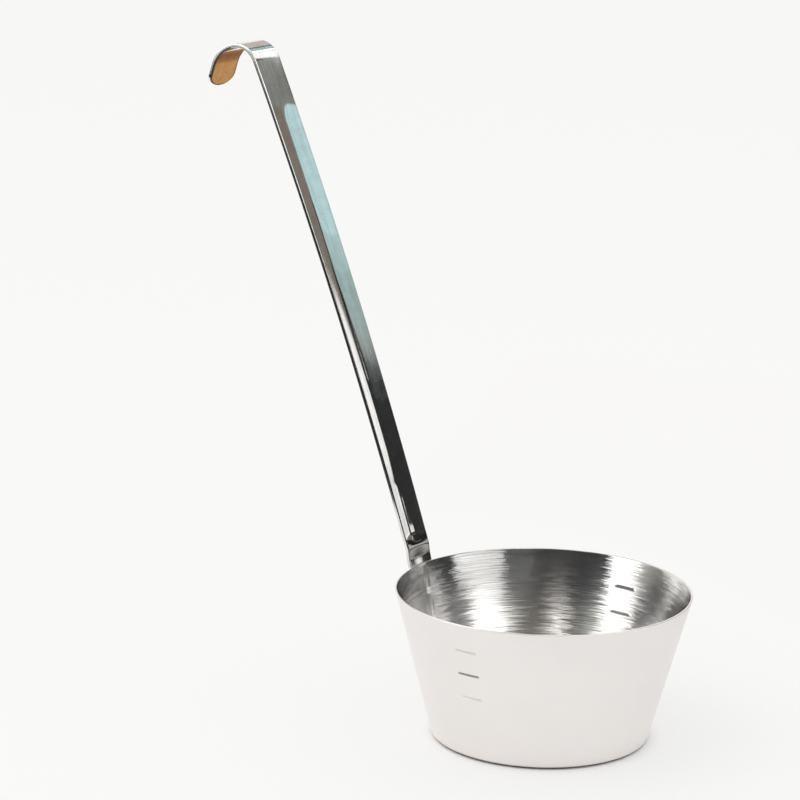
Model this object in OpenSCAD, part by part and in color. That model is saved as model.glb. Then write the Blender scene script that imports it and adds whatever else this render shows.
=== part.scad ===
// Stainless steel water dipper: a pressed conical bowl with graduation dashes and a
// grooved strap handle, spot welded to the bowl and bent over to a hook at the top.
// The base of the bowl lies on z = 0 with its centre at the origin. The handle rises at -X.

/* [Bowl] */
// Outside diameter of the rim
rim_d = 130; // [110:1:160]
// Outside diameter of the base, where the wall would meet the ground without its rounding
base_d = 95; // [80:1:105]
// Height of the bowl
bowl_h = 66; // [60:1:90]
// Thickness of the bowl's sheet
wall = 0.8; // [0.6:0.1:1.2]
// Outside radius between the base and the wall
corner_r = 3; // [2:0.5:6]

/* [Graduation dashes] */
// Direction of the near column of dashes about the bowl's axis; the handle is at 180
mark_near = -90; // [-120:1:-60]
// Direction of the far column of dashes
mark_far = 84.5; // [60:0.5:120]
// Number of dashes in each column
mark_count = 3; // [1:1:3]
// Height of the lowest dash, at about a quarter of a litre
mark_low = 31; // [20:0.5:34]
// Height from one dash to the next
mark_pitch = 11.2; // [8:0.2:12]
// Length of a dash
mark_len = 12; // [6:0.5:16]
// Width of a dash
mark_w = 1.2; // [0.8:0.1:1.6]
// Depth of a dash outside, and how far it stands out inside
mark_depth = 0.3; // [0.2:0.05:0.4]

/* [Handle strap] */
// Width of the strap at its hook
hook_w = 18; // [14:0.5:22]
// Width of the strap at its foot
foot_w = 16.4; // [13:0.2:20]
// Thickness of the strap
strap_t = 1.8; // [1.5:0.1:2.5]
// Length of the foot below the rim
foot_drop = 28; // [24:1:32]
// Length of the foot above the rim, up to the neck
foot_rise = 2.6; // [2:0.1:8]
// Length of the upright neck between the foot and the shank
neck_len = 4; // [3:0.1:10]
// Lean of the neck from upright
neck_lean = 5; // [0:0.5:12]
// Radius of the foot's lower corners
foot_corner_r = 4; // [1:0.5:6]
// Length of each of the neck's two bends
neck_bend_len = 1; // [1:0.1:4]
// Lean of the shank from upright, just above the neck
lean_low = 19.8; // [16:0.1:22]
// Lean of the shank from upright, below the hook
lean_high = 25.3; // [22:0.1:32]
// Length of the shank, from the neck to the hook
shank_len = 227.3; // [140:0.1:320]

/* [Stiffening groove] */
// Depth of the groove pressed into the shank
groove_depth = 2; // [1:0.1:2.4]
// Rounding of the groove's valley, close to its radius
groove_round = 1.9; // [0.6:0.1:3]
// Length over which the groove's lower end runs out
groove_run_low = 6; // [4:0.5:12]
// Length over which the groove's upper end runs out
groove_run_high = 12; // [4:0.5:20]
// Flat length between the groove and the hook
groove_stop = 18; // [8:1:40]

/* [Hook] */
// Outside radius of the bend that leaves the shank
shoulder_r = 11.6; // [8:0.1:20]
// Outside radius of the bend that leads to the tip
hook_r = 15.5; // [10:0.1:22]
// Angle of each of the two bends
hook_bend = 68.4; // [55:0.1:72]
// Length of the straight tip
tip_len = 10.5; // [9:0.5:20]
// Length of the tip's rounded end
tip_round = 5.5; // [3:0.5:8]

/* [Spot welds] */
// Number of spot welds, one below the other
weld_count = 2; // [1:1:2]
// Diameter of a weld nugget
weld_d = 5; // [4:0.5:6]
// Distance from the rim down to the upper weld
weld_drop = 8; // [6:0.5:10]
// Distance from one weld to the next
weld_pitch = 12; // [8:0.5:12]
// Depth of a nugget in the bowl's wall
weld_in_bowl = 0.5; // [0.3:0.05:0.5]
// Depth of a nugget in the strap
weld_in_strap = 1; // [0.6:0.1:1.2]

/* [Hidden] */

rim_r = rim_d / 2;
base_r = base_d / 2;
// angle of the wall from upright
wall_lean = atan((rim_r - base_r) / bowl_h);
// thickness of the wall along a level line
wall_level = wall / cos(wall_lean);
// gap that keeps the foot's narrow facets off the curved wall
seat_gap = 0.02;
// height by which a cut runs past what it opens
overrun = 1;

// Bowl

// outside radius of the bowl at height z, away from the rounded corner
function wall_r(z) = base_r + z * tan(wall_lean);

// Half section of a solid cup: level at the bottom, rounded at radius r, then sloping to the top
module cup_section(bottom_r, bottom_z, top_z, r) {
    tangent = r / tan((90 + wall_lean) / 2);
    top_r = bottom_r + (top_z - bottom_z) * tan(wall_lean);
    polygon([
        [0, bottom_z],
        [bottom_r - tangent, bottom_z],
        [bottom_r + tangent * sin(wall_lean), bottom_z + tangent * cos(wall_lean)],
        [top_r, top_z],
        [0, top_z]
    ]);
    translate([bottom_r - tangent, bottom_z + r]) circle(r = r, $fn = 96);
}

module bowl_section() {
    difference() {
        cup_section(base_r, 0, bowl_h, corner_r);
        cup_section(wall_r(wall) - wall_level, wall, bowl_h + overrun, corner_r - wall);
    }
}

// Round stock of a dash, whose centre lies off the wall's outer (side = 1) or inner (side = -1)
// face, so that it dips mark_depth into that face
module mark_stock(z, side) {
    stock_r = (mark_w * mark_w / 4 + mark_depth * mark_depth) / (2 * mark_depth);
    face_r = side > 0 ? wall_r(z) : wall_r(z) - wall_level;
    off = stock_r - mark_depth;
    translate([face_r + off * cos(wall_lean), z - off * sin(wall_lean)])
        circle(r = stock_r, $fn = 64);
}

// Arc of a dash's length about the bowl's axis, centred on the direction dir
module mark_arc(z, dir) {
    sweep = mark_len / wall_r(z) * 180 / PI;
    rotate([0, 0, dir - sweep / 2]) rotate_extrude(angle = sweep, $fn = 180) children();
}

// The part of a dash that stands out inside the bowl
module mark_ridge_section(z) {
    intersection() {
        mark_stock(z, -1);
        polygon([
            [0, 0],
            [wall_r(0) - wall_level / 2, 0],
            [wall_r(bowl_h) - wall_level / 2, bowl_h],
            [0, bowl_h]
        ]);
    }
}

// Runs its children for every dash of both columns
module each_mark() {
    for (dir = [mark_near, mark_far])
        for (i = [0 : mark_count - 1]) {
            $mark_z = mark_low + i * mark_pitch;
            $mark_dir = dir;
            children();
        }
}

module bowl() {
    color([0.86, 0.86, 0.85])
        difference() {
            union() {
                rotate_extrude($fn = 180) bowl_section();
                each_mark() mark_arc($mark_z, $mark_dir) mark_ridge_section($mark_z);
            }
            each_mark() mark_arc($mark_z, $mark_dir) mark_stock($mark_z, 1);
            welds(weld_in_bowl, overrun);
        }
}

// Handle strap

// The strap's bowl side follows this line, given as [length, angle turned] of each stretch
foot_len = foot_drop + foot_rise;
stretches = [
    [foot_len, 0],
    [neck_bend_len, neck_lean - wall_lean],
    [neck_len, 0],
    [neck_bend_len, lean_low - neck_lean],
    [shank_len, lean_high - lean_low],
    [shoulder_r * hook_bend * PI / 180, hook_bend],
    [hook_r * hook_bend * PI / 180, hook_bend],
    [tip_len, 0]
];

// Point [x, z, lean] reached from p after length u of a stretch [length, angle turned]
function step(p, u, stretch) =
    let (turn = stretch[1] * u / stretch[0])
    turn == 0 ? [p[0] - u * sin(p[2]), p[1] + u * cos(p[2]), p[2]] :
    let (r = u / (turn * PI / 180))
    [
        p[0] + r * (cos(p[2] + turn) - cos(p[2])),
        p[1] + r * (sin(p[2] + turn) - sin(p[2])),
        p[2] + turn
    ];

// Start of stretch i, and the length of line before it
foot_end = [-rim_r + foot_drop * sin(wall_lean), bowl_h - foot_drop * cos(wall_lean), wall_lean];
function joint(i) = i == 0 ? foot_end : step(joint(i - 1), stretches[i - 1][0], stretches[i - 1]);
function length_to(i) = i == 0 ? 0 : length_to(i - 1) + stretches[i - 1][0];

shank_from = length_to(4);
hook_from = length_to(5);
tip_from = length_to(7);
line_len = tip_from + tip_len;
groove_top = hook_from - groove_stop;

// How much of the groove there is at length s: 0 in the foot and hook, 1 along the shank
function ramp(u) = max(0, min(1, u));
function smooth(u) = ramp(u) * ramp(u) * (3 - 2 * ramp(u));
function groove_share(s) =
    smooth(min((s - shank_from) / groove_run_low, (groove_top - s) / groove_run_high));

// Half width of the strap at length s, first whole, then less its rounded corners and tip
function full_half_w(s) = (foot_w + (hook_w - foot_w) * ramp((s - shank_from) / shank_len)) / 2;
function half_w(s) =
    s < foot_corner_r ?
        foot_w / 2 - foot_corner_r + sqrt(pow(foot_corner_r, 2) - pow(foot_corner_r - s, 2)) :
    s > line_len - tip_round ?
        hook_w / 2 * sqrt(max(0, 1 - pow((s - line_len + tip_round) / tip_round, 2))) :
        full_half_w(s);

// Radius of the wall across the foot at length s, measured square to the wall
function seat_r(s) = wall_r(foot_end[1] + s * cos(wall_lean)) / cos(wall_lean);

// Share of the wall's curve left in the strap: all of it in the foot, none above the neck
function seat_share(s) = ramp((shank_from - s) / (shank_from - foot_len));

// Rise of the section towards the bowl at distance y from the middle
function seat_rise(y, s) = seat_share(s) * (seat_r(s) - sqrt(pow(seat_r(s), 2) - y * y));
function valley(y) = sqrt(y * y + pow(groove_round, 2)) - groove_round;
function groove_rise(y, s) =
    groove_depth * groove_share(s) * (valley(y) / valley(full_half_w(s)) - 1);
function rise(y, s) = seat_rise(y, s) + groove_rise(y, s);

// Points of the section at length s, across the bowl side and back along the other side
across = 12;
slope_step = 0.05;
function side_pos(i, s) =
    let (u = 2 * i / across - 1)
    half_w(s) * sign(u) * pow(abs(u), 1.3);
function section(s) =
    let (ys = [for (i = [0 : across]) side_pos(i, s)])
    concat(
        [for (y = ys) [y, rise(y, s)]],
        [
            for (i = [across : -1 : 0])
                let (
                    y = ys[i],
                    tilt = atan((rise(y + slope_step, s) - rise(y - slope_step, s)) / (2 * slope_step))
                )
                [y, rise(y, s) - strap_t / cos(tilt)]
        ]
    );

// A section of the strap set on its line: square to the lean, seat_gap off the wall
function placed(s, p) =
    [
        for (q = section(s))
            [p[0] + (q[1] - seat_gap) * cos(p[2]), q[0], p[1] + (q[1] - seat_gap) * sin(p[2])]
    ];

// Lengths at which sections stand in stretch i, closer together where the shape changes
function even(from, to, count) = [for (k = [0 : count - 1]) from + (to - from) * k / count];
corner_steps = 4;
tip_steps = 7;
stations = concat(
    [for (k = [0 : corner_steps - 1]) foot_corner_r * (1 - cos(90 * k / corner_steps))],
    even(foot_corner_r, foot_len, 2),
    even(foot_len, length_to(2), 2),
    even(length_to(2), length_to(3), 2),
    even(length_to(3), shank_from, 2),
    even(shank_from, shank_from + groove_run_low, 5),
    even(shank_from + groove_run_low, groove_top - groove_run_high, 8),
    even(groove_top - groove_run_high, groove_top, 6),
    even(groove_top, hook_from, 1),
    even(hook_from, tip_from, 18),
    even(tip_from, line_len - tip_round, 1),
    [for (k = [0 : tip_steps - 1]) line_len - tip_round * (1 - sin(86 * k / (tip_steps - 1)))]
);
function stretch_of(s, i = 0) =
    i == len(stretches) - 1 || s < length_to(i + 1) ? i : stretch_of(s, i + 1);

// Solid through a list of rings of points. A ring runs across the strap's bowl side and back
// along its other side, so point j of one side lies opposite point n - 1 - j of the ring.
module loft(rings) {
    n = len(rings[0]);
    last = len(rings) - 1;
    end = last * n;
    polyhedron(
        points = [for (ring = rings) each ring],
        faces = concat(
            [for (j = [0 : n / 2 - 2]) each [[j, n - 2 - j, n - 1 - j], [j, j + 1, n - 2 - j]]],
            [
                for (k = [0 : last - 1], j = [0 : n - 1])
                    let (a = k * n + j, b = k * n + (j + 1) % n)
                    each [[a, b + n, b], [a, a + n, b + n]]
            ],
            [
                for (j = [0 : n / 2 - 2])
                    each [
                        [end + j, end + n - 1 - j, end + n - 2 - j],
                        [end + j, end + n - 2 - j, end + j + 1]
                    ]
            ]
        )
    );
}

module handle_strap() {
    color([0.62, 0.64, 0.65])
        difference() {
            loft([
                for (s = stations)
                    let (i = stretch_of(s))
                    placed(s, step(joint(i), s - length_to(i), stretches[i]))
            ]);
            welds(overrun, weld_in_strap);
        }
}

// Spot welds

// Short rods through the seam, square to the wall, from into_bowl inside the wall's outer
// face to into_strap behind it
module welds(into_bowl, into_strap) {
    for (i = [0 : weld_count - 1]) {
        drop = weld_drop + i * weld_pitch;
        translate([-rim_r + drop * sin(wall_lean), 0, bowl_h - drop * cos(wall_lean)])
            rotate([0, 90 - wall_lean, 0])
                translate([0, 0, -into_strap])
                    cylinder(d = weld_d, h = into_strap + into_bowl, $fn = 48);
    }
}

module spot_welds() {
    color([0.5, 0.5, 0.52]) welds(weld_in_bowl, weld_in_strap);
}

bowl();
handle_strap();
spot_welds();
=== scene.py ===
"""Stainless steel water dipper: fine meshes, steel materials, soft studio light and camera."""

import math

import bpy
from mathutils import Matrix, Vector


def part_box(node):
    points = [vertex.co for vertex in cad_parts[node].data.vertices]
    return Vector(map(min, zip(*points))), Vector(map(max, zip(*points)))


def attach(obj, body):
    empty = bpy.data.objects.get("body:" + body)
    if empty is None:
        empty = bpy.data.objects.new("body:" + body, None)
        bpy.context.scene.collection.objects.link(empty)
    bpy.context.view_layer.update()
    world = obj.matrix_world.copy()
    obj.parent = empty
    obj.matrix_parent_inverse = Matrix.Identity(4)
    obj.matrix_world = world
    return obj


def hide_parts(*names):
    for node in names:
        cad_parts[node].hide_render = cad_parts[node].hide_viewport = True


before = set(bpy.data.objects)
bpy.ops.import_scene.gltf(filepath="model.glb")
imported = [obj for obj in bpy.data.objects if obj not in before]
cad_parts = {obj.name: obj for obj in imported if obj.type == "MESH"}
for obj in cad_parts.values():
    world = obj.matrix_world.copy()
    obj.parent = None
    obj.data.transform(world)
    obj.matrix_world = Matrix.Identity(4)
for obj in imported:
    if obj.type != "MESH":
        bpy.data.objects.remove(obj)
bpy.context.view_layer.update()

# Lengths of the dipper are in millimetres, and its meshes are scaled to metres when they are made
MM = 0.001

# Bowl
_, bowl_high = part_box("bowl")
RIM_R = bowl_high.x / MM
BOWL_H = bowl_high.z / MM
BASE_R = RIM_R * 95 / 130
WALL = 0.8
CORNER_R = 3.0
RIM_ROUNDING = 0.26
WALL_LEAN = math.atan2(RIM_R - BASE_R, BOWL_H)

# Graduation dashes, pressed from outside
MARK_DIRECTIONS = (-90.0, 84.5)
MARK_HEIGHTS = (31.0, 42.2, 53.4)
MARK_LEN = 12.0
MARK_HALF_W = 0.78
MARK_DEPTH = 0.3
MARK_TAPER = 1.6
# Painted shade in the dashes outside, as shares of the darkest: low, middle and high dash. The ridges
# inside get all of it
MARK_PAINTED_SHADE = (0.3, 1.0, 0.35)

# Spot welds: round dimples on the back of the strap, and deeper ones inside the bowl, where the
# wall is pulled outwards and the dimple is stretched along it
WELD_DROPS = (8.0, 20.0)
WELD_DIRECTION = 180.0
WELD_R = 2.6
WELD_FADE = 1.35
WELD_DIMPLE = 0.12
WELD_PULL = 0.2
WELD_PULL_STRETCH = 2.2

# Handle strap
STRAP_T = 1.8
STRAP_EDGE_R = 0.42
FOOT_W = 16.4
HOOK_W = 18.0
FOOT_DROP = 28.0
FOOT_RISE = 2.6
FOOT_CORNER_R = 4.0
NECK_LEN = 4.0
NECK_LEAN = 5.0
NECK_BEND_LEN = 1.0
LEAN_LOW = 19.8
LEAN_HIGH = 25.3
SHANK_LEN = 227.3
GROOVE_DEPTH = 2.0
GROOVE_ROUND = 1.9
GROOVE_RUN_LOW = 6.0
GROOVE_RUN_HIGH = 12.0
FLARE_FROM = 26.0
FLARE_TO = 10.0
FLARE_W = 2.6
GROOVE_STOP = 18.0
SHOULDER_R = 11.6
HOOK_R = 15.5
HOOK_BEND = 68.4
TIP_LEN = 10.5
TIP_ROUND = 5.5
SEAT_GAP = 0.02

# The strip's edge gets painted shade round the inside of the hook's tip and on the right of the flat,
# and less of it on the rows of points next to it
EDGE_SHADE_TIP_LEN = 26.0
EDGE_SHADE_FLAT_LEN = 19.0
EDGE_SHADE_REACH = STRAP_EDGE_R + 0.05
TIP_EDGE_PAINTED_SHADE = 1.0
FLAT_EDGE_PAINTED_SHADE = 0.8
EDGE_SHADE_INNER_SHARE = 0.65
EDGE_SHADE_INNER_ROWS = 4


# Numbers along a line


def ramp(u):
    return max(0.0, min(1.0, u))


def smooth(u):
    u = ramp(u)
    return u * u * (3 - 2 * u)


def even(start, end, step):
    """Evenly spaced numbers from start to end, about a step apart."""
    count = max(1, round(abs(end - start) / step))
    return [start + (end - start) * i / count for i in range(count + 1)]


def stations(start, end, step, dense):
    """Numbers from start to end, a step apart, and closer round each (centre, reach, step) of dense."""
    found = set(even(start, end, step))
    for centre, reach, fine in dense:
        low, high = max(start, centre - reach), min(end, centre + reach)
        found = {x for x in found if not low - fine / 2 < x < high + fine / 2 or x in (start, end)}
        found |= set(even(low, high, fine))
    return sorted(found)


# Meshes


def mesh_object(name, points, faces, uvs=None, slots=None, painted_shades=None):
    """A smooth object from points in millimetres, with a point's uv at each corner that uses it,
    a material slot number for each face, and a share from 0 to 1 of painted shade at each
    point."""
    mesh = bpy.data.meshes.new(name)
    mesh.from_pydata([[c * MM for c in p] for p in points], [], faces)
    mesh.polygons.foreach_set("use_smooth", [True] * len(mesh.polygons))
    if slots:
        mesh.polygons.foreach_set("material_index", slots)
    if uvs:
        layer = mesh.uv_layers.new(name="strap")
        layer.data.foreach_set("uv", [c for loop in mesh.loops for c in uvs[loop.vertex_index]])
    if painted_shades:
        # Each point's share of painted shade, kept for the materials
        mesh.attributes.new("press_and_painted_shade", "FLOAT", "POINT").data.foreach_set("value", painted_shades)
    mesh.validate()
    return linked(name, mesh)


def linked(name, data):
    """A new object in the scene."""
    made = bpy.data.objects.new(name, data)
    bpy.context.scene.collection.objects.link(made)
    return made


def loop_faces(first, second):
    """Quads between two closed rings of point numbers."""
    count = len(first)
    return [
        (first[i], first[(i + 1) % count], second[(i + 1) % count], second[i])
        for i in range(count)
    ]


# Bowl

# Rings of the bowl's mesh: at its corners, on the flat of its base and along its wall
CORNER_STEPS = (12, 5, 5, 10)
CORNER_SUPPORT = 0.2
BASE_RINGS = [0.5, 4, 10, 18, 26, 34, 40]
WALL_STEP = 3.0
WELDS_REACH = 14.0
WELDS_STEP = 0.8
MARK_REACH = 1.0
MARK_STEP = 0.16

# Directions of the bowl's mesh in degrees: how far apart, and closer at the dashes and the welds
TURN_STEP = 1.5
MARK_MARGIN = 0.6
MARK_TURN_STEP = 0.5
WELD_TURN_REACH = 5.0
WELD_TURN_STEP = 0.6


def fillet(before, corner, after, radius, steps):
    """Points of an arc that rounds the corner of a bent line, from one tangent point to the other."""
    to_before = (Vector(before) - Vector(corner)).normalized()
    to_after = (Vector(after) - Vector(corner)).normalized()
    half = to_before.angle(to_after) / 2
    tangent = radius / math.tan(half)
    centre = Vector(corner) + (to_before + to_after).normalized() * radius / math.sin(half)
    arm = Vector(corner) + to_before * tangent - centre
    turn = math.pi - 2 * half
    if to_before.x * to_after.y - to_before.y * to_after.x > 0:
        turn = -turn
    points = []
    for i in range(steps + 1):
        cos, sin = math.cos(turn * i / steps), math.sin(turn * i / steps)
        points.append(centre + Vector((arm.x * cos - arm.y * sin, arm.x * sin + arm.y * cos)))
    return points


def mark_press(direction, z):
    """How deep the dashes press the wall at that direction in degrees and height."""
    deepest = 0.0
    for centre in MARK_DIRECTIONS:
        off = math.radians((direction - centre + 180) % 360 - 180)
        for height in MARK_HEIGHTS:
            along = abs(off) * (BASE_R + height * math.tan(WALL_LEAN))
            across = (z - height) / math.cos(WALL_LEAN) / MARK_HALF_W
            if abs(across) < 1:
                end = smooth((MARK_LEN / 2 - along) / MARK_TAPER)
                deepest = max(deepest, MARK_DEPTH * end * (1 - across * across) ** 1.5)
    return deepest


def weld_height(drop):
    return BOWL_H - drop * math.cos(WALL_LEAN)


def weld_press(along, drop, depth=WELD_DIMPLE, stretch=1.0):
    """Depth of a weld's dimple at those distances from the middle line and below the rim."""
    deepest = 0.0
    for centre in WELD_DROPS:
        r = math.hypot(along, (drop - centre) / stretch) / WELD_R
        deepest = max(deepest, depth * smooth(WELD_FADE - r))
    return deepest


def bowl_corners():
    """Rounded corners of the bowl's profile: outer base, rim outside, rim inside and inner base."""
    thick = WALL / math.cos(WALL_LEAN)
    inner_base_r = BASE_R + WALL * math.tan(WALL_LEAN) - thick
    outer = [(0, 0), (BASE_R, 0), (RIM_R, BOWL_H)]
    inner = [(RIM_R - thick, BOWL_H), (inner_base_r, WALL), (0, WALL)]
    line = outer + inner
    radii = [CORNER_R, RIM_ROUNDING, RIM_ROUNDING, CORNER_R - WALL]
    return [
        fillet(line[i], line[i + 1], line[i + 2], radii[i], CORNER_STEPS[i])
        for i in range(len(radii))
    ]


def wall_points(start, end, side):
    """Points of the wall between two corners, closer together at the dashes and the welds."""
    dense = [(weld_height(sum(WELD_DROPS) / 2), WELDS_REACH, WELDS_STEP)]
    dense += [(z, MARK_REACH, MARK_STEP) for z in MARK_HEIGHTS]
    low, high = sorted((start.y, end.y))
    zs = stations(low + CORNER_SUPPORT, high - CORNER_SUPPORT, WALL_STEP, dense)
    if start.y > end.y:
        zs.reverse()
    slope = (end.x - start.x) / (end.y - start.y)
    return [(start.x + (z - start.y) * slope, z, side) for z in zs]


def bowl_profile():
    """Points (radius, height, side) from the middle of the underside over the rim to the middle
    inside. side is 1 on the outer wall, -1 on the inner wall and 0 elsewhere."""
    base, rim_out, rim_in, inner_base = bowl_corners()
    base_rings = BASE_RINGS + [base[0].x - CORNER_SUPPORT]
    inner_rings = [inner_base[-1].x - CORNER_SUPPORT] + BASE_RINGS[::-1]
    points = [(r, 0.0, 0) for r in base_rings]
    points += [(p.x, p.y, 0) for p in base]
    points += wall_points(base[-1], rim_out[0], 1)
    points += [(p.x, p.y, 0) for p in rim_out + rim_in]
    points += wall_points(rim_in[-1], inner_base[0], -1)
    points += [(p.x, p.y, 0) for p in inner_base]
    points += [(r, WALL, 0) for r in inner_rings]
    return points


def bowl_directions():
    reach = math.degrees((MARK_LEN / 2 + MARK_MARGIN) / BASE_R)
    dense = [(d, reach, MARK_TURN_STEP) for d in MARK_DIRECTIONS]
    dense += [(WELD_DIRECTION, WELD_TURN_REACH, WELD_TURN_STEP)]
    return stations(-150.0, 210.0, TURN_STEP, dense)[:-1]


def bowl_point(r, z, side, direction):
    """A point of the bowl, pressed in at the dashes and out at the welds, and its share of painted
    shade in the dashes.
    """
    press_and_painted_shade = mark_press(direction, z) if side else 0.0
    dash = min(range(len(MARK_HEIGHTS)), key=lambda k: abs(z - MARK_HEIGHTS[k]))
    # Painted shade in the dashes, darkest where they are pressed deepest
    painted_shade_share = press_and_painted_shade / MARK_DEPTH * (MARK_PAINTED_SHADE[dash] if side > 0 else 1.0)
    if side < 0:
        off = math.radians(direction - WELD_DIRECTION)
        drop = (BOWL_H - z) / math.cos(WALL_LEAN)
        press_and_painted_shade -= weld_press(off * r, drop, WELD_PULL, WELD_PULL_STRETCH)
    out = r - press_and_painted_shade * math.cos(WALL_LEAN)
    a = math.radians(direction)
    return (out * math.cos(a), out * math.sin(a), z + press_and_painted_shade * math.sin(WALL_LEAN)), painted_shade_share


def bowl_piece():
    """The bowl. Its faces have slot 0 outside and slot 1 inside."""
    points, faces, slots, painted_shades, rings = [], [], [], [], []
    directions = bowl_directions()
    profile = bowl_profile()
    inside_from = max(range(len(profile)), key=lambda k: (round(profile[k][1], 3), k))
    for r, z, side in profile:
        rings.append(range(len(points), len(points) + len(directions)))
        for direction in directions:
            point, painted_shade_share = bowl_point(r, z, side, direction)
            points.append(point)
            painted_shades.append(painted_shade_share)
    for k, (first, second) in enumerate(zip(rings, rings[1:])):
        faces += loop_faces(first, second)
        slots += [int(k >= inside_from)] * len(first)
    for ring, z, slot in ((rings[0], 0.0, 0), (rings[-1], WALL, 1)):
        middle = len(points)
        points.append((0.0, 0.0, z))
        painted_shades.append(0.0)
        for a, b in zip(ring, [*ring[1:], ring[0]]):
            faces.append((a, b, middle) if slot else (b, a, middle))
            slots.append(slot)
    return mesh_object("dipper_bowl", points, faces, slots=slots, painted_shades=painted_shades)


# Strap

# Points of the strap's mesh: along it, round its corners (to TIP_TURN degrees at the tip), across
# it and round its edge
STRAP_STEP = 2.5
HOOK_STEP = 0.8
FOOT_CORNER_STEPS = 9
TIP_STEPS = 14
TIP_TURN = 88
ACROSS_STEPS = 22
ACROSS_POWER = 1.15
OUTER_SHARE = 0.975
EDGE_STEPS = 4
EDGE_SUPPORT = 0.12


def line_stretches():
    """Lengths of the strap's stretches and the angle that each turns, in degrees."""
    bend = math.radians(HOOK_BEND)
    return [
        (FOOT_DROP + FOOT_RISE, 0.0),
        (NECK_BEND_LEN, NECK_LEAN - math.degrees(WALL_LEAN)),
        (NECK_LEN, 0.0),
        (NECK_BEND_LEN, LEAN_LOW - NECK_LEAN),
        (SHANK_LEN, LEAN_HIGH - LEAN_LOW),
        (SHOULDER_R * bend, HOOK_BEND),
        (HOOK_R * bend, HOOK_BEND),
        (TIP_LEN, 0.0),
    ]


STRETCHES = line_stretches()
FOOT_LEN = FOOT_DROP + FOOT_RISE
SHANK_FROM = FOOT_LEN + NECK_LEN + 2 * NECK_BEND_LEN
HOOK_FROM = SHANK_FROM + SHANK_LEN
LINE_LEN = sum(length for length, _ in STRETCHES)


def line_at(s):
    """(x, z, lean) of the strap's bowl side at length s from the foot's lower end."""
    x = -RIM_R + FOOT_DROP * math.sin(WALL_LEAN)
    z = BOWL_H - FOOT_DROP * math.cos(WALL_LEAN)
    lean = WALL_LEAN
    for i, (length, degrees) in enumerate(STRETCHES):
        last = i == len(STRETCHES) - 1
        u = s if last else min(s, length)
        turn = math.radians(degrees) * u / length
        if abs(turn) < 1e-9:
            x, z = x - u * math.sin(lean), z + u * math.cos(lean)
        else:
            r = u / turn
            x += r * (math.cos(lean + turn) - math.cos(lean))
            z += r * (math.sin(lean + turn) - math.sin(lean))
        lean += turn
        s -= u
        if s <= 0 and not last:
            break
    return x, z, lean


def full_half_w(s):
    return (FOOT_W + (HOOK_W - FOOT_W) * ramp((s - SHANK_FROM) / SHANK_LEN)) / 2


def valley(y, s):
    """Shape of the groove across the strap. Near the neck it has a flat beside its middle line."""
    flare = FLARE_W * smooth((SHANK_FROM + FLARE_FROM - s) / (FLARE_FROM - FLARE_TO))
    return math.hypot(max(y - flare, min(y, 0.0)), GROOVE_ROUND) - GROOVE_ROUND


def seat_rise(y, s):
    share = ramp((SHANK_FROM - s) / (SHANK_FROM - FOOT_LEN))
    z = BOWL_H - (FOOT_DROP - s) * math.cos(WALL_LEAN)
    r = (BASE_R + z * math.tan(WALL_LEAN)) / math.cos(WALL_LEAN)
    return share * (r - math.sqrt(r * r - y * y))


def groove_rise(y, s):
    low = (s - SHANK_FROM) / GROOVE_RUN_LOW
    high = (HOOK_FROM - GROOVE_STOP - s) / GROOVE_RUN_HIGH
    share = smooth(min(low, high))
    side = math.copysign(full_half_w(s), y)
    return GROOVE_DEPTH * share * (valley(y, s) / valley(side, s) - 1)


def rise(y, s):
    """Height of the strap's bowl side over its line: the seat on the wall and the groove."""
    return seat_rise(y, s) + groove_rise(y, s)


def strap_point(s, y, depth):
    """The point at length s, distance y from the middle line and that depth under the bowl side."""
    x, z, lean = line_at(s)
    step = 0.05
    tilt = math.atan2(rise(y + step, s) - rise(y - step, s), 2 * step)
    if depth > STRAP_T - STRAP_EDGE_R:
        depth -= weld_press(y, FOOT_DROP - s)
    up = rise(y, s) - depth / math.cos(tilt) - SEAT_GAP
    return x + up * math.cos(lean), y, z + up * math.sin(lean)


def strap_outline():
    """Points (s, half width, outward s, outward y) along the strap's right edge, foot to tip."""
    found = []
    for i in range(FOOT_CORNER_STEPS):
        a = math.radians(90 * i / FOOT_CORNER_STEPS)
        s = FOOT_CORNER_R * (1 - math.sin(math.pi / 2 - a))
        y = FOOT_W / 2 - FOOT_CORNER_R * (1 - math.sin(a))
        found.append((s, y, -math.cos(a), math.sin(a)))
    slope = (HOOK_W - FOOT_W) / 2 / SHANK_LEN
    dense = [
        (FOOT_LEN + NECK_BEND_LEN / 2, 1.5, 0.25),
        (SHANK_FROM - NECK_BEND_LEN / 2, 1.5, 0.25),
        (SHANK_FROM + GROOVE_RUN_LOW / 2, 4.0, 0.4),
        (HOOK_FROM - GROOVE_STOP - GROOVE_RUN_HIGH / 2, 7.0, 0.5),
        (HOOK_FROM, 4.0, 0.6),
    ]
    for s in stations(FOOT_CORNER_R, HOOK_FROM, STRAP_STEP, dense):
        found.append((s, full_half_w(s), -slope if s > SHANK_FROM else 0.0, 1.0))
    for s in even(HOOK_FROM, LINE_LEN - TIP_ROUND, HOOK_STEP)[1:]:
        found.append((s, HOOK_W / 2, 0.0, 1.0))
    for i in range(1, TIP_STEPS + 1):
        a = math.radians(TIP_TURN * i / TIP_STEPS)
        s = LINE_LEN - TIP_ROUND * (1 - math.sin(a))
        out = Vector((math.sin(a) * HOOK_W / 2, math.cos(a) * TIP_ROUND)).normalized()
        found.append((s, HOOK_W / 2 * math.cos(a), out.x, out.y))
    return found


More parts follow.
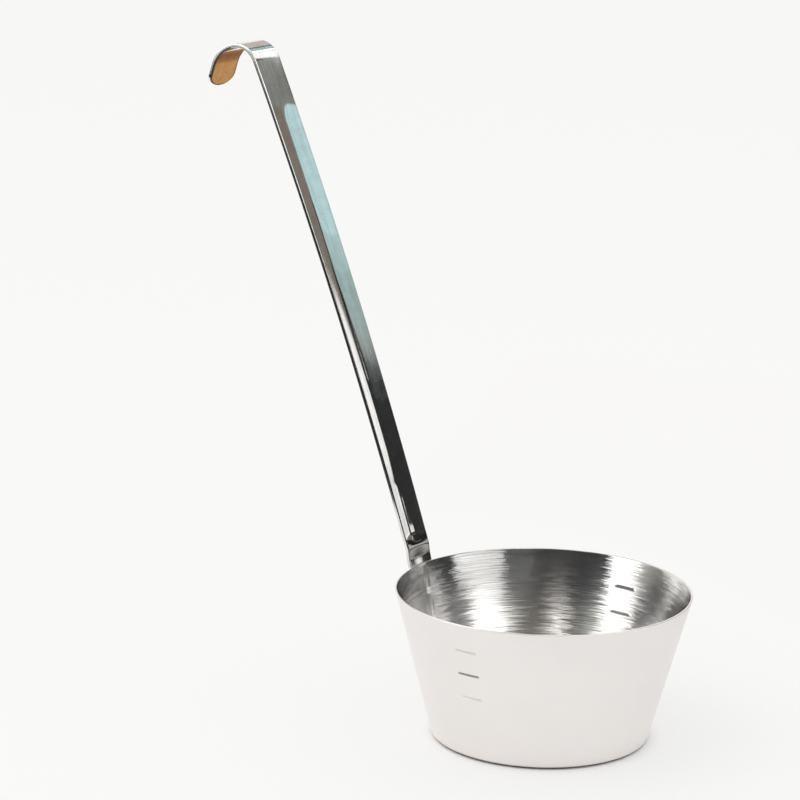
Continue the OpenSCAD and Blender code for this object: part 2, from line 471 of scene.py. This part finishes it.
def edge_painted_shade(s, y, depth):
    """How much painted shade the strip's edge gets there."""
    if s > LINE_LEN - EDGE_SHADE_TIP_LEN and depth > STRAP_T - EDGE_SHADE_REACH:
        return TIP_EDGE_PAINTED_SHADE
    on_flat = HOOK_FROM - EDGE_SHADE_FLAT_LEN < s < HOOK_FROM + 1
    if on_flat and y > 0 and depth < EDGE_SHADE_REACH:
        return FLAT_EDGE_PAINTED_SHADE
    return 0.0


def strap_shares():
    """Places across the strap as shares of its half width, closer together in its groove."""
    shares = [-1.0]
    for j in range(ACROSS_STEPS + 1):
        u = 2 * j / ACROSS_STEPS - 1
        shares.append(OUTER_SHARE * math.copysign(abs(u) ** ACROSS_POWER, u))
    return shares + [1.0]


def edge_rounding():
    """(outward share of the edge's radius, depth) round the strap's edge, front to back."""
    angles = [math.pi / 2 * i / EDGE_STEPS for i in range(1, EDGE_STEPS + 1)]
    front = [(math.sin(a), STRAP_EDGE_R * (1 - math.cos(a))) for a in angles]
    middle = [
        (1.0, STRAP_EDGE_R + EDGE_SUPPORT),
        (1.0, STRAP_T - STRAP_EDGE_R - EDGE_SUPPORT),
    ]
    back = [(out, STRAP_T - depth) for out, depth in reversed(front)]
    return front + middle + back


def edge_outward(row, share, end):
    """The way out of the strap's edge. end is -1 on the foot's row, 1 on the tip's and 0 elsewhere."""
    if end:
        y = share ** 5 if end < 0 else 0.0
        return Vector((end * (1 - abs(share) ** 6), y)).normalized()
    _, _, out_s, out_y = row
    return Vector((out_s, math.copysign(out_y, share))).normalized()


def strap_rows():
    """The outline's points, drawn in by the radius of the strap's edge."""
    rows = []
    for s, y, out_s, out_y in strap_outline():
        rows.append((s - STRAP_EDGE_R * out_s, y - STRAP_EDGE_R * out_y, out_s, out_y))
    return rows


def rim_order(last, side):
    """(row, place in it) of each point round the strap: foot, right edge, tip and left edge."""
    order = [(0, j) for j in range(side)] + [(k, side) for k in range(last)]
    order += [(last, j) for j in range(side, 0, -1)]
    return order + [(k, 0) for k in range(last, 0, -1)]


def sheet_faces(front, back, rings):
    """Faces of the two grids, and of the rings that join them round the strap."""
    faces = []
    for k in range(len(front) - 1):
        for j in range(len(front[k]) - 1):
            faces.append((front[k][j], front[k][j + 1], front[k + 1][j + 1], front[k + 1][j]))
            faces.append((back[k][j], back[k + 1][j], back[k + 1][j + 1], back[k][j + 1]))
    for first, second in zip(rings, rings[1:]):
        faces += [tuple(reversed(f)) for f in loop_faces(first, second)]
    return faces


def strap_piece():
    rows, shares = strap_rows(), strap_shares()
    last = len(rows) - 1
    rim = rim_order(last, len(shares) - 1)
    points, uvs, painted_shades = [], [], []

    # Each point keeps its share of the painted shade along the strip's edge
    def add(s, y, depth, edge_shade_share=1.0):
        points.append(strap_point(s, y, depth))
        uvs.append((y, s))
        painted_shades.append(edge_shade_share * edge_painted_shade(s, y, depth))
        return len(points) - 1

    # Share of the edge's painted shade: all of it on the rim and the tip's row, part of it on the
    # points next to the rim and on the last rows before the tip, none elsewhere
    def edge_shade_share(k, share):
        if abs(share) == 1.0 or k == last:
            return 1.0
        near_edge = abs(share) >= OUTER_SHARE or k > last - EDGE_SHADE_INNER_ROWS
        return EDGE_SHADE_INNER_SHARE if near_edge else 0.0

    def face_grid(depth):
        return [
            [add(s, y * share, depth, edge_shade_share(k, share)) for share in shares]
            for k, (s, y, _, _) in enumerate(rows)
        ]

    front, back = face_grid(0.0), face_grid(STRAP_T)
    rings = [[front[k][j] for k, j in rim]]
    for out, depth in edge_rounding():
        ring = []
        for k, j in rim:
            s, y, _, _ = rows[k]
            end = (k == last) - (k == 0)
            n = edge_outward(rows[k], shares[j], end) * STRAP_EDGE_R * out
            ring.append(add(s + n.x, y * shares[j] + n.y, depth))
        rings.append(ring)
    rings.append([back[k][j] for k, j in rim])
    faces = sheet_faces(front, back, rings)
    return mesh_object("dipper_strap", points, faces, uvs, painted_shades=painted_shades)


# Materials

SATIN_GRAIN_DEPTH = 0.0000015
ROLLED_GRAIN_DEPTH = 0.000004
# Painted shade on the strap's bowl side in the neck, as a share of the darkest
NECK_PAINTED_SHADE = 0.62


def node(tree, kind, inputs=None, **settings):
    """Adds a node. An input is a number, a colour, or another node's output socket."""
    made = tree.nodes.new(kind)
    for name, value in settings.items():
        setattr(made, name, value)
    for name, value in (inputs or {}).items():
        if isinstance(value, bpy.types.NodeSocket):
            tree.links.new(value, made.inputs[name])
        else:
            made.inputs[name].default_value = value
    return made


def calc(tree, operation, a, b=0.0):
    return node(tree, "ShaderNodeMath", {0: a, 1: b}, operation=operation).outputs[0]


def spread(tree, value, low, high, to_low, to_high):
    """value from low to high becomes to_low to to_high, and stays there past the ends."""
    inputs = {"Value": value, "From Min": low, "From Max": high, "To Min": to_low, "To Max": to_high}
    return node(tree, "ShaderNodeMapRange", inputs, clamp=True).outputs[0]


def noise(tree, vector, scale, detail=2.0, roughness=0.5):
    inputs = {"Vector": vector, "Scale": scale, "Detail": detail, "Roughness": roughness}
    return node(tree, "ShaderNodeTexNoise", inputs).outputs[0]


def vector_calc(tree, operation, inputs):
    return node(tree, "ShaderNodeVectorMath", inputs, operation=operation).outputs[0]


def part_of(tree, vector, axis):
    """One of the three numbers of a vector: 0, 1 or 2."""
    return node(tree, "ShaderNodeSeparateXYZ", {0: vector}).outputs[axis]


def place_and_normal(tree):
    outputs = node(tree, "ShaderNodeNewGeometry").outputs
    return outputs["Position"], outputs["Normal"]


def bump(tree, height, depth):
    """The normal over lines of that height, which are as deep as depth in metres."""
    inputs = {"Strength": 1.0, "Distance": depth, "Height": height}
    return node(tree, "ShaderNodeBump", inputs).outputs[0]


def shaded(tone, share=1.0):
    """A tone, made darker by a share, as a colour with alpha."""
    return tuple(c * share for c in tone) + (1,)


def mix(tree, factor, a, b):
    inputs = {"Factor": factor, "A": a, "B": b}
    made = tree.nodes.new("ShaderNodeMix")
    made.data_type = "RGBA"
    for name, value in inputs.items():
        socket = next(i for i in made.inputs if i.name == name and i.enabled)
        if isinstance(value, bpy.types.NodeSocket):
            tree.links.new(value, socket)
        else:
            socket.default_value = value
    return next(o for o in made.outputs if o.enabled)


def metal(name, anisotropic=0.0, rotation=0.0):
    """A new material with one metallic shader. Returns the material, its tree and the shader."""
    made = bpy.data.materials.new(name)
    made.use_nodes = True
    tree = made.node_tree
    tree.nodes.clear()
    shader = node(tree, "ShaderNodeBsdfPrincipled", {"Metallic": 1.0, "Anisotropic": anisotropic})
    shader.inputs["Anisotropic Rotation"].default_value = rotation
    end = tree.nodes.new("ShaderNodeOutputMaterial")
    tree.links.new(shader.outputs[0], end.inputs[0])
    return made, tree, shader


def connect(tree, shader, colour, rough, normal):
    tree.links.new(colour, shader.inputs["Base Color"])
    tree.links.new(rough, shader.inputs["Roughness"])
    tree.links.new(normal, shader.inputs["Normal"])


def with_painted_shade(tree, colour, darkest):
    """The colour, darkened towards black by painted shade, by each point's share of it."""
    press_and_painted_shade = node(tree, "ShaderNodeAttribute", attribute_name="press_and_painted_shade").outputs["Fac"]
    share = spread(tree, press_and_painted_shade, 0.1, 0.9, 0, darkest)
    return mix(tree, share, colour, (0.03, 0.03, 0.03, 1))


def ring_coordinates(tree):
    """A vector that changes slowly round the bowl's axis and fast along its profile, in
    millimetres."""
    place, _ = place_and_normal(tree)
    x, y, z = node(tree, "ShaderNodeSeparateXYZ", {0: place}).outputs
    squares = calc(tree, "ADD", calc(tree, "POWER", x, 2.0), calc(tree, "POWER", y, 2.0))
    r = calc(tree, "MAXIMUM", calc(tree, "SQRT", squares), 0.0005)
    profile = calc(tree, "MULTIPLY", calc(tree, "ADD", r, z), 1 / MM)
    turn = {0: calc(tree, "DIVIDE", x, r), 1: calc(tree, "DIVIDE", y, r), 2: profile}
    return node(tree, "ShaderNodeCombineXYZ", turn).outputs[0]


def ring_noise(tree, rings, round_scale, profile_scale, detail=2.0, roughness=0.5):
    scales = (round_scale, round_scale, profile_scale)
    scaled = vector_calc(tree, "MULTIPLY", {0: rings, 1: scales})
    return noise(tree, scaled, 1.0, detail, roughness)


def swayed(tree, rings, normal, tangent, sway):
    """The normal, leaning forwards or backwards along the tangent, each fine ring another way."""
    near = spread(tree, ring_noise(tree, rings, 3.0, 1.3), 0.2, 0.8, -sway, sway)
    hair = spread(tree, ring_noise(tree, rings, 4.0, 4.5), 0.2, 0.8, -sway, sway)
    share = calc(tree, "ADD", calc(tree, "MULTIPLY", near, 0.4), hair)
    aside = vector_calc(tree, "SCALE", {0: tangent, "Scale": share})
    facing = vector_calc(tree, "ADD", {0: normal, 1: aside})
    return vector_calc(tree, "NORMALIZE", {0: facing})


def turned_steel(name, tone, roughness, line_depth, sway):
    """Steel with rings turned into it: uneven bright and dull lines round the bowl's axis, each of
    which also faces a little more to one side or the other."""
    made, tree, shader = metal(name, anisotropic=0.9, rotation=0.25)
    rings = ring_coordinates(tree)
    fine = ring_noise(tree, rings, 2.2, 1.1, 2.0, 0.6)
    broad = ring_noise(tree, rings, 0.9, 0.4)
    lines = calc(tree, "ADD", calc(tree, "MULTIPLY", fine, 0.6), calc(tree, "MULTIPLY", broad, 0.4))
    colour = mix(tree, spread(tree, lines, 0.38, 0.6, 0, 1), shaded(tone, 0.78), shaded(tone))
    rough = spread(tree, lines, 0.3, 0.7, roughness * 1.2, roughness * 0.8)
    tangent = node(tree, "ShaderNodeTangent", direction_type="RADIAL", axis="Z").outputs[0]
    normal = swayed(tree, rings, bump(tree, fine, line_depth), tangent, sway)
    # Darkened by painted shade at the dashes' ridges inside the bowl
    connect(tree, shader, with_painted_shade(tree, colour, 0.8), rough, normal)
    tree.links.new(tangent, shader.inputs["Tangent"])
    return made


def satin_steel(name, tone, roughness):
    """Smooth satin steel: cloudy, with a grain too fine to show as lines."""
    made, tree, shader = metal(name)
    place, _ = place_and_normal(tree)
    cloud = noise(tree, place, 22.0, 3.0)
    grain = noise(tree, place, 2600.0, 2.0)
    colour = mix(tree, spread(tree, cloud, 0.35, 0.65, 0, 1), shaded(tone, 0.96), shaded(tone))
    cloudy = spread(tree, cloud, 0.3, 0.7, roughness - 0.03, roughness)
    rough = calc(tree, "ADD", cloudy, spread(tree, grain, 0.3, 0.7, 0, 0.05))
    # Darkened by painted shade in the dashes
    connect(tree, shader, with_painted_shade(tree, colour, 0.75), rough, bump(tree, grain, SATIN_GRAIN_DEPTH))
    return made


def neck_painted_shade(tree, place, cloud):
    """Painted shade on the strip's bowl side in the neck, and 0 elsewhere."""
    s = calc(tree, "ADD", part_of(tree, place, 1), spread(tree, cloud, 0.3, 0.7, -1.2, 1.2))
    below = spread(tree, s, FOOT_LEN - 0.6, FOOT_LEN + 0.8, 0, NECK_PAINTED_SHADE)
    above = spread(tree, s, SHANK_FROM + 1.5, SHANK_FROM + 4.5, 1, 0)
    _, normal = place_and_normal(tree)
    facing_bowl = spread(tree, part_of(tree, normal, 0), 0, 0.4, 0, 1)
    return calc(tree, "MULTIPLY", calc(tree, "MULTIPLY", below, above), facing_bowl)


def specks(tree, place):
    """Small dark specks on the strip, more of them on its flat below the hook."""
    on_flat = spread(tree, part_of(tree, place, 1), HOOK_FROM - 17, HOOK_FROM - 13, 0, 0.05)
    strength = calc(tree, "ADD", noise(tree, place, 1.1, 1.0), on_flat)
    return spread(tree, strength, 0.73, 0.77, 0, 0.6)


def rolled_steel(name, tone, roughness):
    """Bright rolled strip: faint grain along its length, cloudy patches, a few dark specks, and
    painted shade in the neck and along parts of its edge.
    """
    made, tree, shader = metal(name)
    place = node(tree, "ShaderNodeUVMap", uv_map="strap").outputs[0]
    along = vector_calc(tree, "MULTIPLY", {0: place, 1: (5.0, 0.12, 1.0)})
    grain = noise(tree, along, 1.0, 3.0)
    far_along = vector_calc(tree, "MULTIPLY", {0: place, 1: (0.8, 0.03, 1.0)})
    streaks = noise(tree, far_along, 1.0, 3.0, 0.6)
    cloud = noise(tree, place, 0.16, 4.0, 0.6)
    half_streaks, half_cloud = (calc(tree, "MULTIPLY", value, 0.5) for value in (streaks, cloud))
    uneven = spread(tree, calc(tree, "ADD", half_streaks, half_cloud), 0.38, 0.62, 0, 1)
    even_tone = mix(tree, uneven, shaded(tone, 0.8), shaded(tone))
    # The dark specks, and painted shade on the bowl side in the neck
    dark = calc(tree, "MAXIMUM", specks(tree, place), neck_painted_shade(tree, place, cloud))
    specks_and_painted_shade = mix(tree, dark, even_tone, (0.12, 0.11, 0.1, 1))
    fine_rough = spread(tree, grain, 0.3, 0.7, -0.02, 0.02)
    cloud_rough = spread(tree, cloud, 0.3, 0.7, roughness, roughness + 0.03)
    rough = calc(tree, "ADD", fine_rough, cloud_rough)
    connect(tree, shader, with_painted_shade(tree, specks_and_painted_shade, 0.92), rough, bump(tree, grain, ROLLED_GRAIN_DEPTH))
    return made


def set_materials(obj, *materials):
    """Puts materials on an object. Faces keep their slot numbers where it has had none so far."""
    if obj.data.materials:
        obj.data.materials.clear()
    for material in materials:
        obj.data.materials.append(material)


# Object

STEEL = (0.86, 0.85, 0.84)
SATIN = (0.895, 0.86, 0.84)
WELD_STEEL = (0.55, 0.54, 0.52)
bowl = bowl_piece()
set_materials(
    bowl,
    satin_steel("bowl_steel_satin", SATIN, 0.34),
    turned_steel("bowl_steel_turned", STEEL, 0.14, 0.00002, 0.09),
)
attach(bowl, "root")
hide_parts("bowl")

strap = strap_piece()
set_materials(strap, rolled_steel("strap_steel_rolled", STEEL, 0.075))
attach(strap, "root")
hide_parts("handle_strap")

set_materials(
    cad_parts["spot_welds"],
    turned_steel("weld_steel_satin", WELD_STEEL, 0.4, 0.00001, 0.02),
)


# Floor, light and camera: their places and sizes are in metres

FLOOR_R = 12.0
FLOOR_PALE = (0.93, 0.93, 0.925, 1)
FLOOR_EVENNESS = 0.6
CONTACT_REACH = (0.046, 0.054)
WORLD_TONE = (1, 0.995, 0.985, 1)
WORLD_LIGHT = 1.0
WORLD_SEEN = 0.96


def seen_directly(tree):
    """1 for what the camera sees, also by way of metal or glass, and 0 for light on its way."""
    path = node(tree, "ShaderNodeLightPath").outputs
    seen = calc(tree, "MAXIMUM", path["Is Camera Ray"], path["Is Glossy Ray"])
    return calc(tree, "MAXIMUM", seen, path["Is Transmission Ray"])


def floor_material(name):
    """Pale paint. What the camera sees of it is partly an even tone, so its shadow is faint, but
    at the bowl's edge, within the contact's reach, it keeps its full shadow."""
    made = bpy.data.materials.new(name)
    made.use_nodes = True
    tree = made.node_tree
    shader = tree.nodes["Principled BSDF"]
    shader.inputs["Base Color"].default_value = FLOOR_PALE
    shader.inputs["Roughness"].default_value = 0.8
    shader.inputs["Specular IOR Level"].default_value = 0.2
    glow = node(tree, "ShaderNodeEmission", {"Color": FLOOR_PALE, "Strength": 1.0})
    place, _ = place_and_normal(tree)
    reach = node(tree, "ShaderNodeVectorMath", {0: place}, operation="LENGTH").outputs["Value"]
    evenness = spread(tree, reach, *CONTACT_REACH, 0.0, FLOOR_EVENNESS)
    share = calc(tree, "MULTIPLY", seen_directly(tree), evenness)
    both = node(tree, "ShaderNodeMixShader", {0: share, 1: shader.outputs[0], 2: glow.outputs[0]})
    tree.links.new(both.outputs[0], tree.nodes["Material Output"].inputs["Surface"])
    return made


def floor_piece():
    bpy.ops.mesh.primitive_circle_add(vertices=96, radius=FLOOR_R, fill_type="NGON")
    made = bpy.context.object
    made.name = "floor"
    set_materials(made, floor_material("floor_pale"))


def set_world():
    world = bpy.data.worlds.new("studio")
    bpy.context.scene.world = world
    world.use_nodes = True
    tree = world.node_tree
    tree.nodes.clear()
    strength = spread(tree, seen_directly(tree), 0, 1, WORLD_LIGHT, WORLD_SEEN)
    light = node(tree, "ShaderNodeBackground", {"Color": WORLD_TONE, "Strength": strength})
    end = tree.nodes.new("ShaderNodeOutputWorld")
    tree.links.new(light.outputs[0], end.inputs[0])


# Where the cards are seen from: (x, y, z) in metres, and their distance from there. The nearest
# ones each stand beside one short stretch of the strap
ROOM = ((0.0, 0.0, 0.1), 7.0)
HOOK = ((-0.165, 0.0, 0.27), 0.8)
SHOULDER = ((-0.16, 0.0, 0.27), 0.15)
GROOVE_END = ((-0.15, 0.0, 0.24), 0.15)
FOOT_END = ((-0.077, 0.0, 0.078), 0.05)
NEARER = ((0.0, 0.0, 0.1), 6.8)

# Cards that only the metal reflects: place, azimuth from and to, elevation from and to, radiance.
# A pair of elevations is the start's and the end's, for a sloping edge.
WHITE = (1.3, 1.3, 1.28)
SOFT_WHITE = (2.1, 2.1, 2.07)
TAUPE = (0.23, 0.2, 0.17)
DARK = (0.03, 0.031, 0.031)
CARDS = [
    ("left_soft_box", ROOM, 284, 337, 10, 60, (2.5, 2.5, 2.46)),
    ("left_soft_box_low", ROOM, 303, 337, -1, 10, (1.6, 1.6, 1.58)),
    ("left_grey", ROOM, 284, 303, -1, 10, (0.22, 0.2, 0.17)),
    ("front_dark", ROOM, -23, 66, -4, 23, DARK),
    ("front_dark_top", ROOM, -15, 38, 23, 31, DARK),
    ("right_low_box", ROOM, 66, 109, -3, 11.5, WHITE),
    ("right_dark_band", ROOM, 66, 92, 11.5, 20, DARK),
    ("right_dark_step", ROOM, 92, 112, 11.5, 27, DARK),
    ("right_soft_box", ROOM, 42, 92, 23, 52, SOFT_WHITE),
    ("right_soft_step", ROOM, 92, 112, 27, 52, SOFT_WHITE),
    ("right_dark", ROOM, 109, 146.6, -3, (21.4, 16.2), DARK),
    ("cool_low", ROOM, 112, 147.5, (21.2, 16.2), (22.6, 17.8), (0.42, 0.51, 0.49)),
    ("cool_middle", ROOM, 112, 147.5, (22.6, 17.8), (24.6, 19.8), (0.38, 0.557, 0.55)),
    ("cool_high", ROOM, 112, 147.5, (24.6, 19.8), 31, (0.43, 0.6, 0.61)),
    ("slit", NEARER, 141, 149.4, -3, 13, (1.0, 1.0, 0.95)),
    ("foot_dark_right", FOOT_END, 92, 143, 12, 58, DARK),
    ("foot_dark_left", FOOT_END, 143, 172, 25, 58, DARK),
    ("slit_top", ROOM, 146.6, 149.4, 13, 46, DARK),
    ("back_dark", ROOM, 149.4, 160, -3, 44, DARK),
    ("back_dark_left", ROOM, 160, 166, -3, 24, DARK),
    ("back_grey_left", ROOM, 160, 171, 24, 46, (0.2, 0.195, 0.18)),
    ("back_roof", ROOM, 100, 160, 54, 78, DARK),
    ("rear_white", ROOM, 172, 213, 28, 52, (2.6, 2.48, 2.38)),
    ("olive", ROOM, 240, 262, 24, 56, (0.2, 0.185, 0.11)),
    ("rear_grey", ROOM, 213, 240, 24, 56, (0.34, 0.315, 0.29)),
    ("back_grey", ROOM, 118, 147.5, 31, 42, (0.36, 0.335, 0.3)),
    ("back_white", ROOM, 166, 190, -3, 4.6, (1.15, 1.15, 1.13)),
    ("back_taupe", ROOM, 166, 205, 4.6, 22, TAUPE),
    ("shoulder_white", SHOULDER, 148.5, 167, 23.5, 46, WHITE),
    ("end_cool_low", GROOVE_END, 108, 137, -8, 0, (0.39, 0.53, 0.52)),
    ("end_cool_middle", GROOVE_END, 108, 137, 0, 8, (0.46, 0.64, 0.64)),
    ("end_cool_high", GROOVE_END, 108, 137, 8, 34, (0.56, 0.78, 0.8)),
    ("end_dark", GROOVE_END, 137, 149.5, -8, 9, (0.08, 0.085, 0.08)),
    ("end_grey", GROOVE_END, 137, 149.5, 9, 32, (0.25, 0.26, 0.245)),
    ("end_taupe", GROOVE_END, 149.5, 182, -8, 32, TAUPE),
    ("flat_grey", HOOK, 144.5, 151, 11, 23.5, (0.28, 0.285, 0.265)),
    ("hook_cool", HOOK, 174, 187.5, 30, 42, (0.42, 0.6, 0.6)),
    ("hook_dark", HOOK, 187.5, 191.5, 30, 42, (0.05, 0.045, 0.045)),
    ("hook_pink", HOOK, 191.5, 214, 14, 42, (0.62, 0.55, 0.52)),
]

# Flat mats on the floor that only the metal reflects: x of the centre and radius from and to in
# metres, azimuth from and to, radiance
MATS = [
    ("front_mat", 0.0, 0.38, 6.0, -20, 62, DARK),
    ("side_mat", 0.0, 0.38, 2.1, -65, -20, DARK),
    ("back_mat", 0.0, 0.22, 6.0, 109, 160, DARK),
    ("groove_mat", 0.0, 0.22, 1.2, 160, 182, DARK),
    # Painted contact shade: a dark ring under the base's rounded corner, which the corner reflects as a
    # dark line along the floor
    ("painted_contact_shade_mat", 0.0, 0.0415, 0.0476, -180, 180, DARK),
    ("tip_dark_brown_mat", -0.175, 0.28, 0.37, 138, 200, (0.27, 0.115, 0.055)),
    ("tip_brown_mat", -0.175, 0.37, 0.42, 138, 200, (0.36, 0.165, 0.072)),
    ("tip_tan_mat", -0.175, 0.42, 0.47, 138, 200, (0.47, 0.235, 0.095)),
    ("tip_orange_mat", -0.175, 0.47, 0.66, 138, 200, (0.6, 0.32, 0.13)),
]
MAT_HEIGHT = 0.0002
TIP_MAT_HEIGHT = 0.0006

# Degrees of azimuth from one upright edge of a card or mat to the next
CARD_STEP = 4.0


def card_object(name, points, radiance):
    """A strip between pairs of points that gives off light but is seen only in reflections."""
    faces = [(i, i + 1, i + 3, i + 2) for i in range(0, len(points) - 2, 2)]
    made = mesh_object(name, [[c / MM for c in p] for p in points], faces)
    set_materials(made, glow_material(name, radiance))
    made.visible_camera = made.visible_diffuse = made.visible_shadow = False


def toward(azimuth, reach):
    """The step (x, y) of that length in the direction of an azimuth, which is 0 towards -Y."""
    a = math.radians(azimuth)
    return reach * math.sin(a), -reach * math.cos(a)


def light_card(name, place, azimuth_from, azimuth_to, low, high, radiance):
    """A curved upright card, from one elevation to another as it is seen from its place."""
    (eye_x, eye_y, eye_z), distance = place
    azimuths = even(azimuth_from, azimuth_to, CARD_STEP)
    points = []
    for i, azimuth in enumerate(azimuths):
        x, y = toward(azimuth, distance)
        for edge in (low, high):
            start, end = edge if isinstance(edge, tuple) else (edge, edge)
            elevation = start + (end - start) * i / (len(azimuths) - 1)
            up = distance * math.tan(math.radians(elevation))
            points.append((eye_x + x, eye_y + y, eye_z + up))
    card_object(name, points, radiance)


def floor_mat(name, centre_x, near, far, azimuth_from, azimuth_to, radiance):
    """A flat ring sector on the floor. The mats under the hook's tip lie over the others."""
    height = TIP_MAT_HEIGHT if centre_x else MAT_HEIGHT
    points = []
    for azimuth in even(azimuth_from, azimuth_to, CARD_STEP):
        for reach in (near, far):
            x, y = toward(azimuth, reach)
            points.append((centre_x + x, y, height))
    card_object(name, points, radiance)


def glow_material(name, radiance):
    made = bpy.data.materials.new(name)
    made.use_nodes = True
    tree = made.node_tree
    tree.nodes.clear()
    glow = node(tree, "ShaderNodeEmission", {"Color": radiance + (1,), "Strength": 1.0})
    end = tree.nodes.new("ShaderNodeOutputMaterial")
    tree.links.new(glow.outputs[0], end.inputs[0])
    return made


def outward_at(azimuth, elevation):
    """The direction from the middle to that azimuth and elevation in degrees."""
    a, e = math.radians(azimuth), math.radians(elevation)
    return Vector((math.sin(a) * math.cos(e), -math.cos(a) * math.cos(e), math.sin(e)))


def soft_box(name, azimuth, elevation, distance, size, watts):
    data = bpy.data.lights.new(name, "AREA")
    data.shape = "RECTANGLE"
    data.size, data.size_y = size
    data.energy = watts
    made = linked(name, data)
    back = outward_at(azimuth, elevation)
    made.location = back * distance
    made.rotation_euler = back.to_track_quat("Z", "Y").to_euler()


# Camera: azimuth and elevation of its place about the bowl, then how it turns from facing the bowl
CAM_AZIMUTH = 31.695
CAM_ELEVATION = 18.341
CAM_DISTANCE = 1.4676
CAM_AIM_HEIGHT = 0.032
CAM_TURN_RIGHT = -2.585
CAM_TURN_UP = 4.445
CAM_ROLL = 2.046
CAM_LENS = 149.7
CAM_SENSOR = 36.0
CAM_CLIP = (0.05, 60.0)


def set_camera():
    data = bpy.data.cameras.new("camera")
    data.lens = CAM_LENS
    data.sensor_width = CAM_SENSOR
    data.clip_start, data.clip_end = CAM_CLIP
    a = math.radians(CAM_AZIMUTH)
    back = outward_at(CAM_AZIMUTH, CAM_ELEVATION)
    right = Vector((math.cos(a), math.sin(a), 0.0))
    facing = Matrix((right, back.cross(right), back)).transposed().to_4x4()
    turn = Matrix.Rotation(math.radians(-CAM_TURN_RIGHT), 4, "Y")
    turn = turn @ Matrix.Rotation(math.radians(CAM_TURN_UP), 4, "X")
    turn = turn @ Matrix.Rotation(math.radians(CAM_ROLL), 4, "Z")
    place = Matrix.Translation(back * CAM_DISTANCE + Vector((0, 0, CAM_AIM_HEIGHT)))
    made = linked("camera", data)
    made.matrix_world = place @ facing @ turn
    bpy.context.scene.camera = made


floor_piece()
set_world()
for card in CARDS:
    light_card(*card)
for mat in MATS:
    floor_mat(*mat)
soft_box("key", azimuth=-35, elevation=55, distance=2.2, size=(1.4, 1.4), watts=4)
set_camera()

bpy.context.scene.view_settings.view_transform = "Standard"
